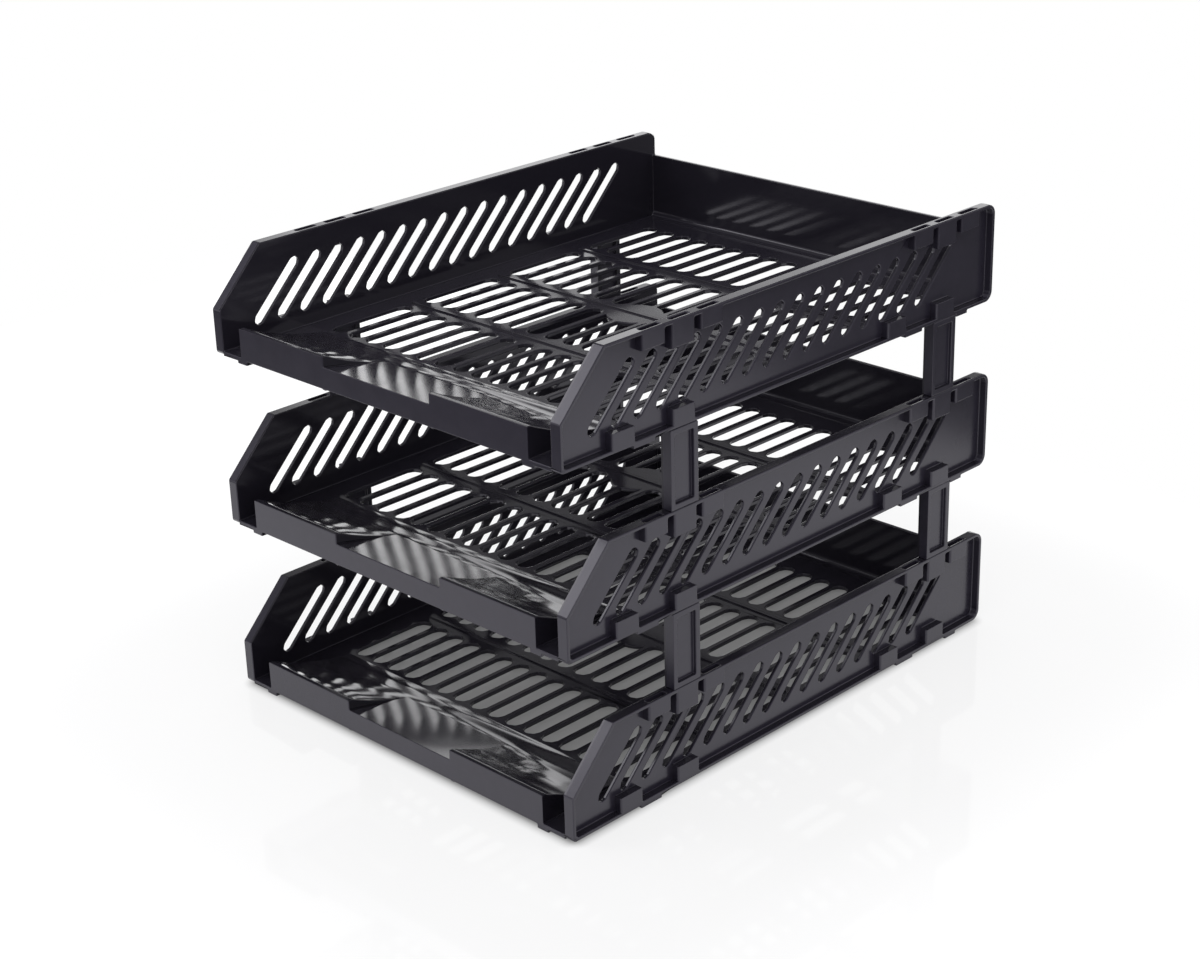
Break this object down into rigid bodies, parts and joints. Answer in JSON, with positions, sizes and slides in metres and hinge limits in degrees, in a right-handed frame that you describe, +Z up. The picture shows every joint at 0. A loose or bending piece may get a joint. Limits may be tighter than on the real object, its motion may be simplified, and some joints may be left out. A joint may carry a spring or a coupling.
{
  "type": "file tray rack",
  "caption": "Desktop rack of stacked open-front file trays with slotted floors and sides, a front ramp with a finger recess, and push-in risers between the tiers.",
  "frame": {"origin": "on the desk, midway between the sides and midway from front to back", "axes": "+Z up, +Y from the open front to the back wall, +X to the right seen from the front"},
  "size_m": [0.264, 0.34, 0.2556],
  "materials": {
    "tray_plastic": "gloss",
    "riser_plastic": "satin"
  },
  "bodies": {
    "lower_tier": {"lower_tray": "tray_plastic", "lower_front_left_riser": "riser_plastic", "lower_front_right_riser": "riser_plastic", "lower_rear_left_riser": "riser_plastic", "lower_rear_right_riser": "riser_plastic"},
    "middle_tier": {"middle_tray": "tray_plastic", "upper_front_left_riser": "riser_plastic", "upper_front_right_riser": "riser_plastic", "upper_rear_left_riser": "riser_plastic", "upper_rear_right_riser": "riser_plastic"},
    "top_tier": {"top_tray": "tray_plastic"}
  },
  "joints": [
    {"name": "middle_tier_lift", "type": "slide", "parent": "lower_tier", "child": "middle_tier", "axis": [0, 0, 1], "range_m": [0, 0.03]},
    {"name": "top_tier_lift", "type": "slide", "parent": "middle_tier", "child": "top_tier", "axis": [0, 0, 1], "range_m": [0, 0.03]}
  ]
}
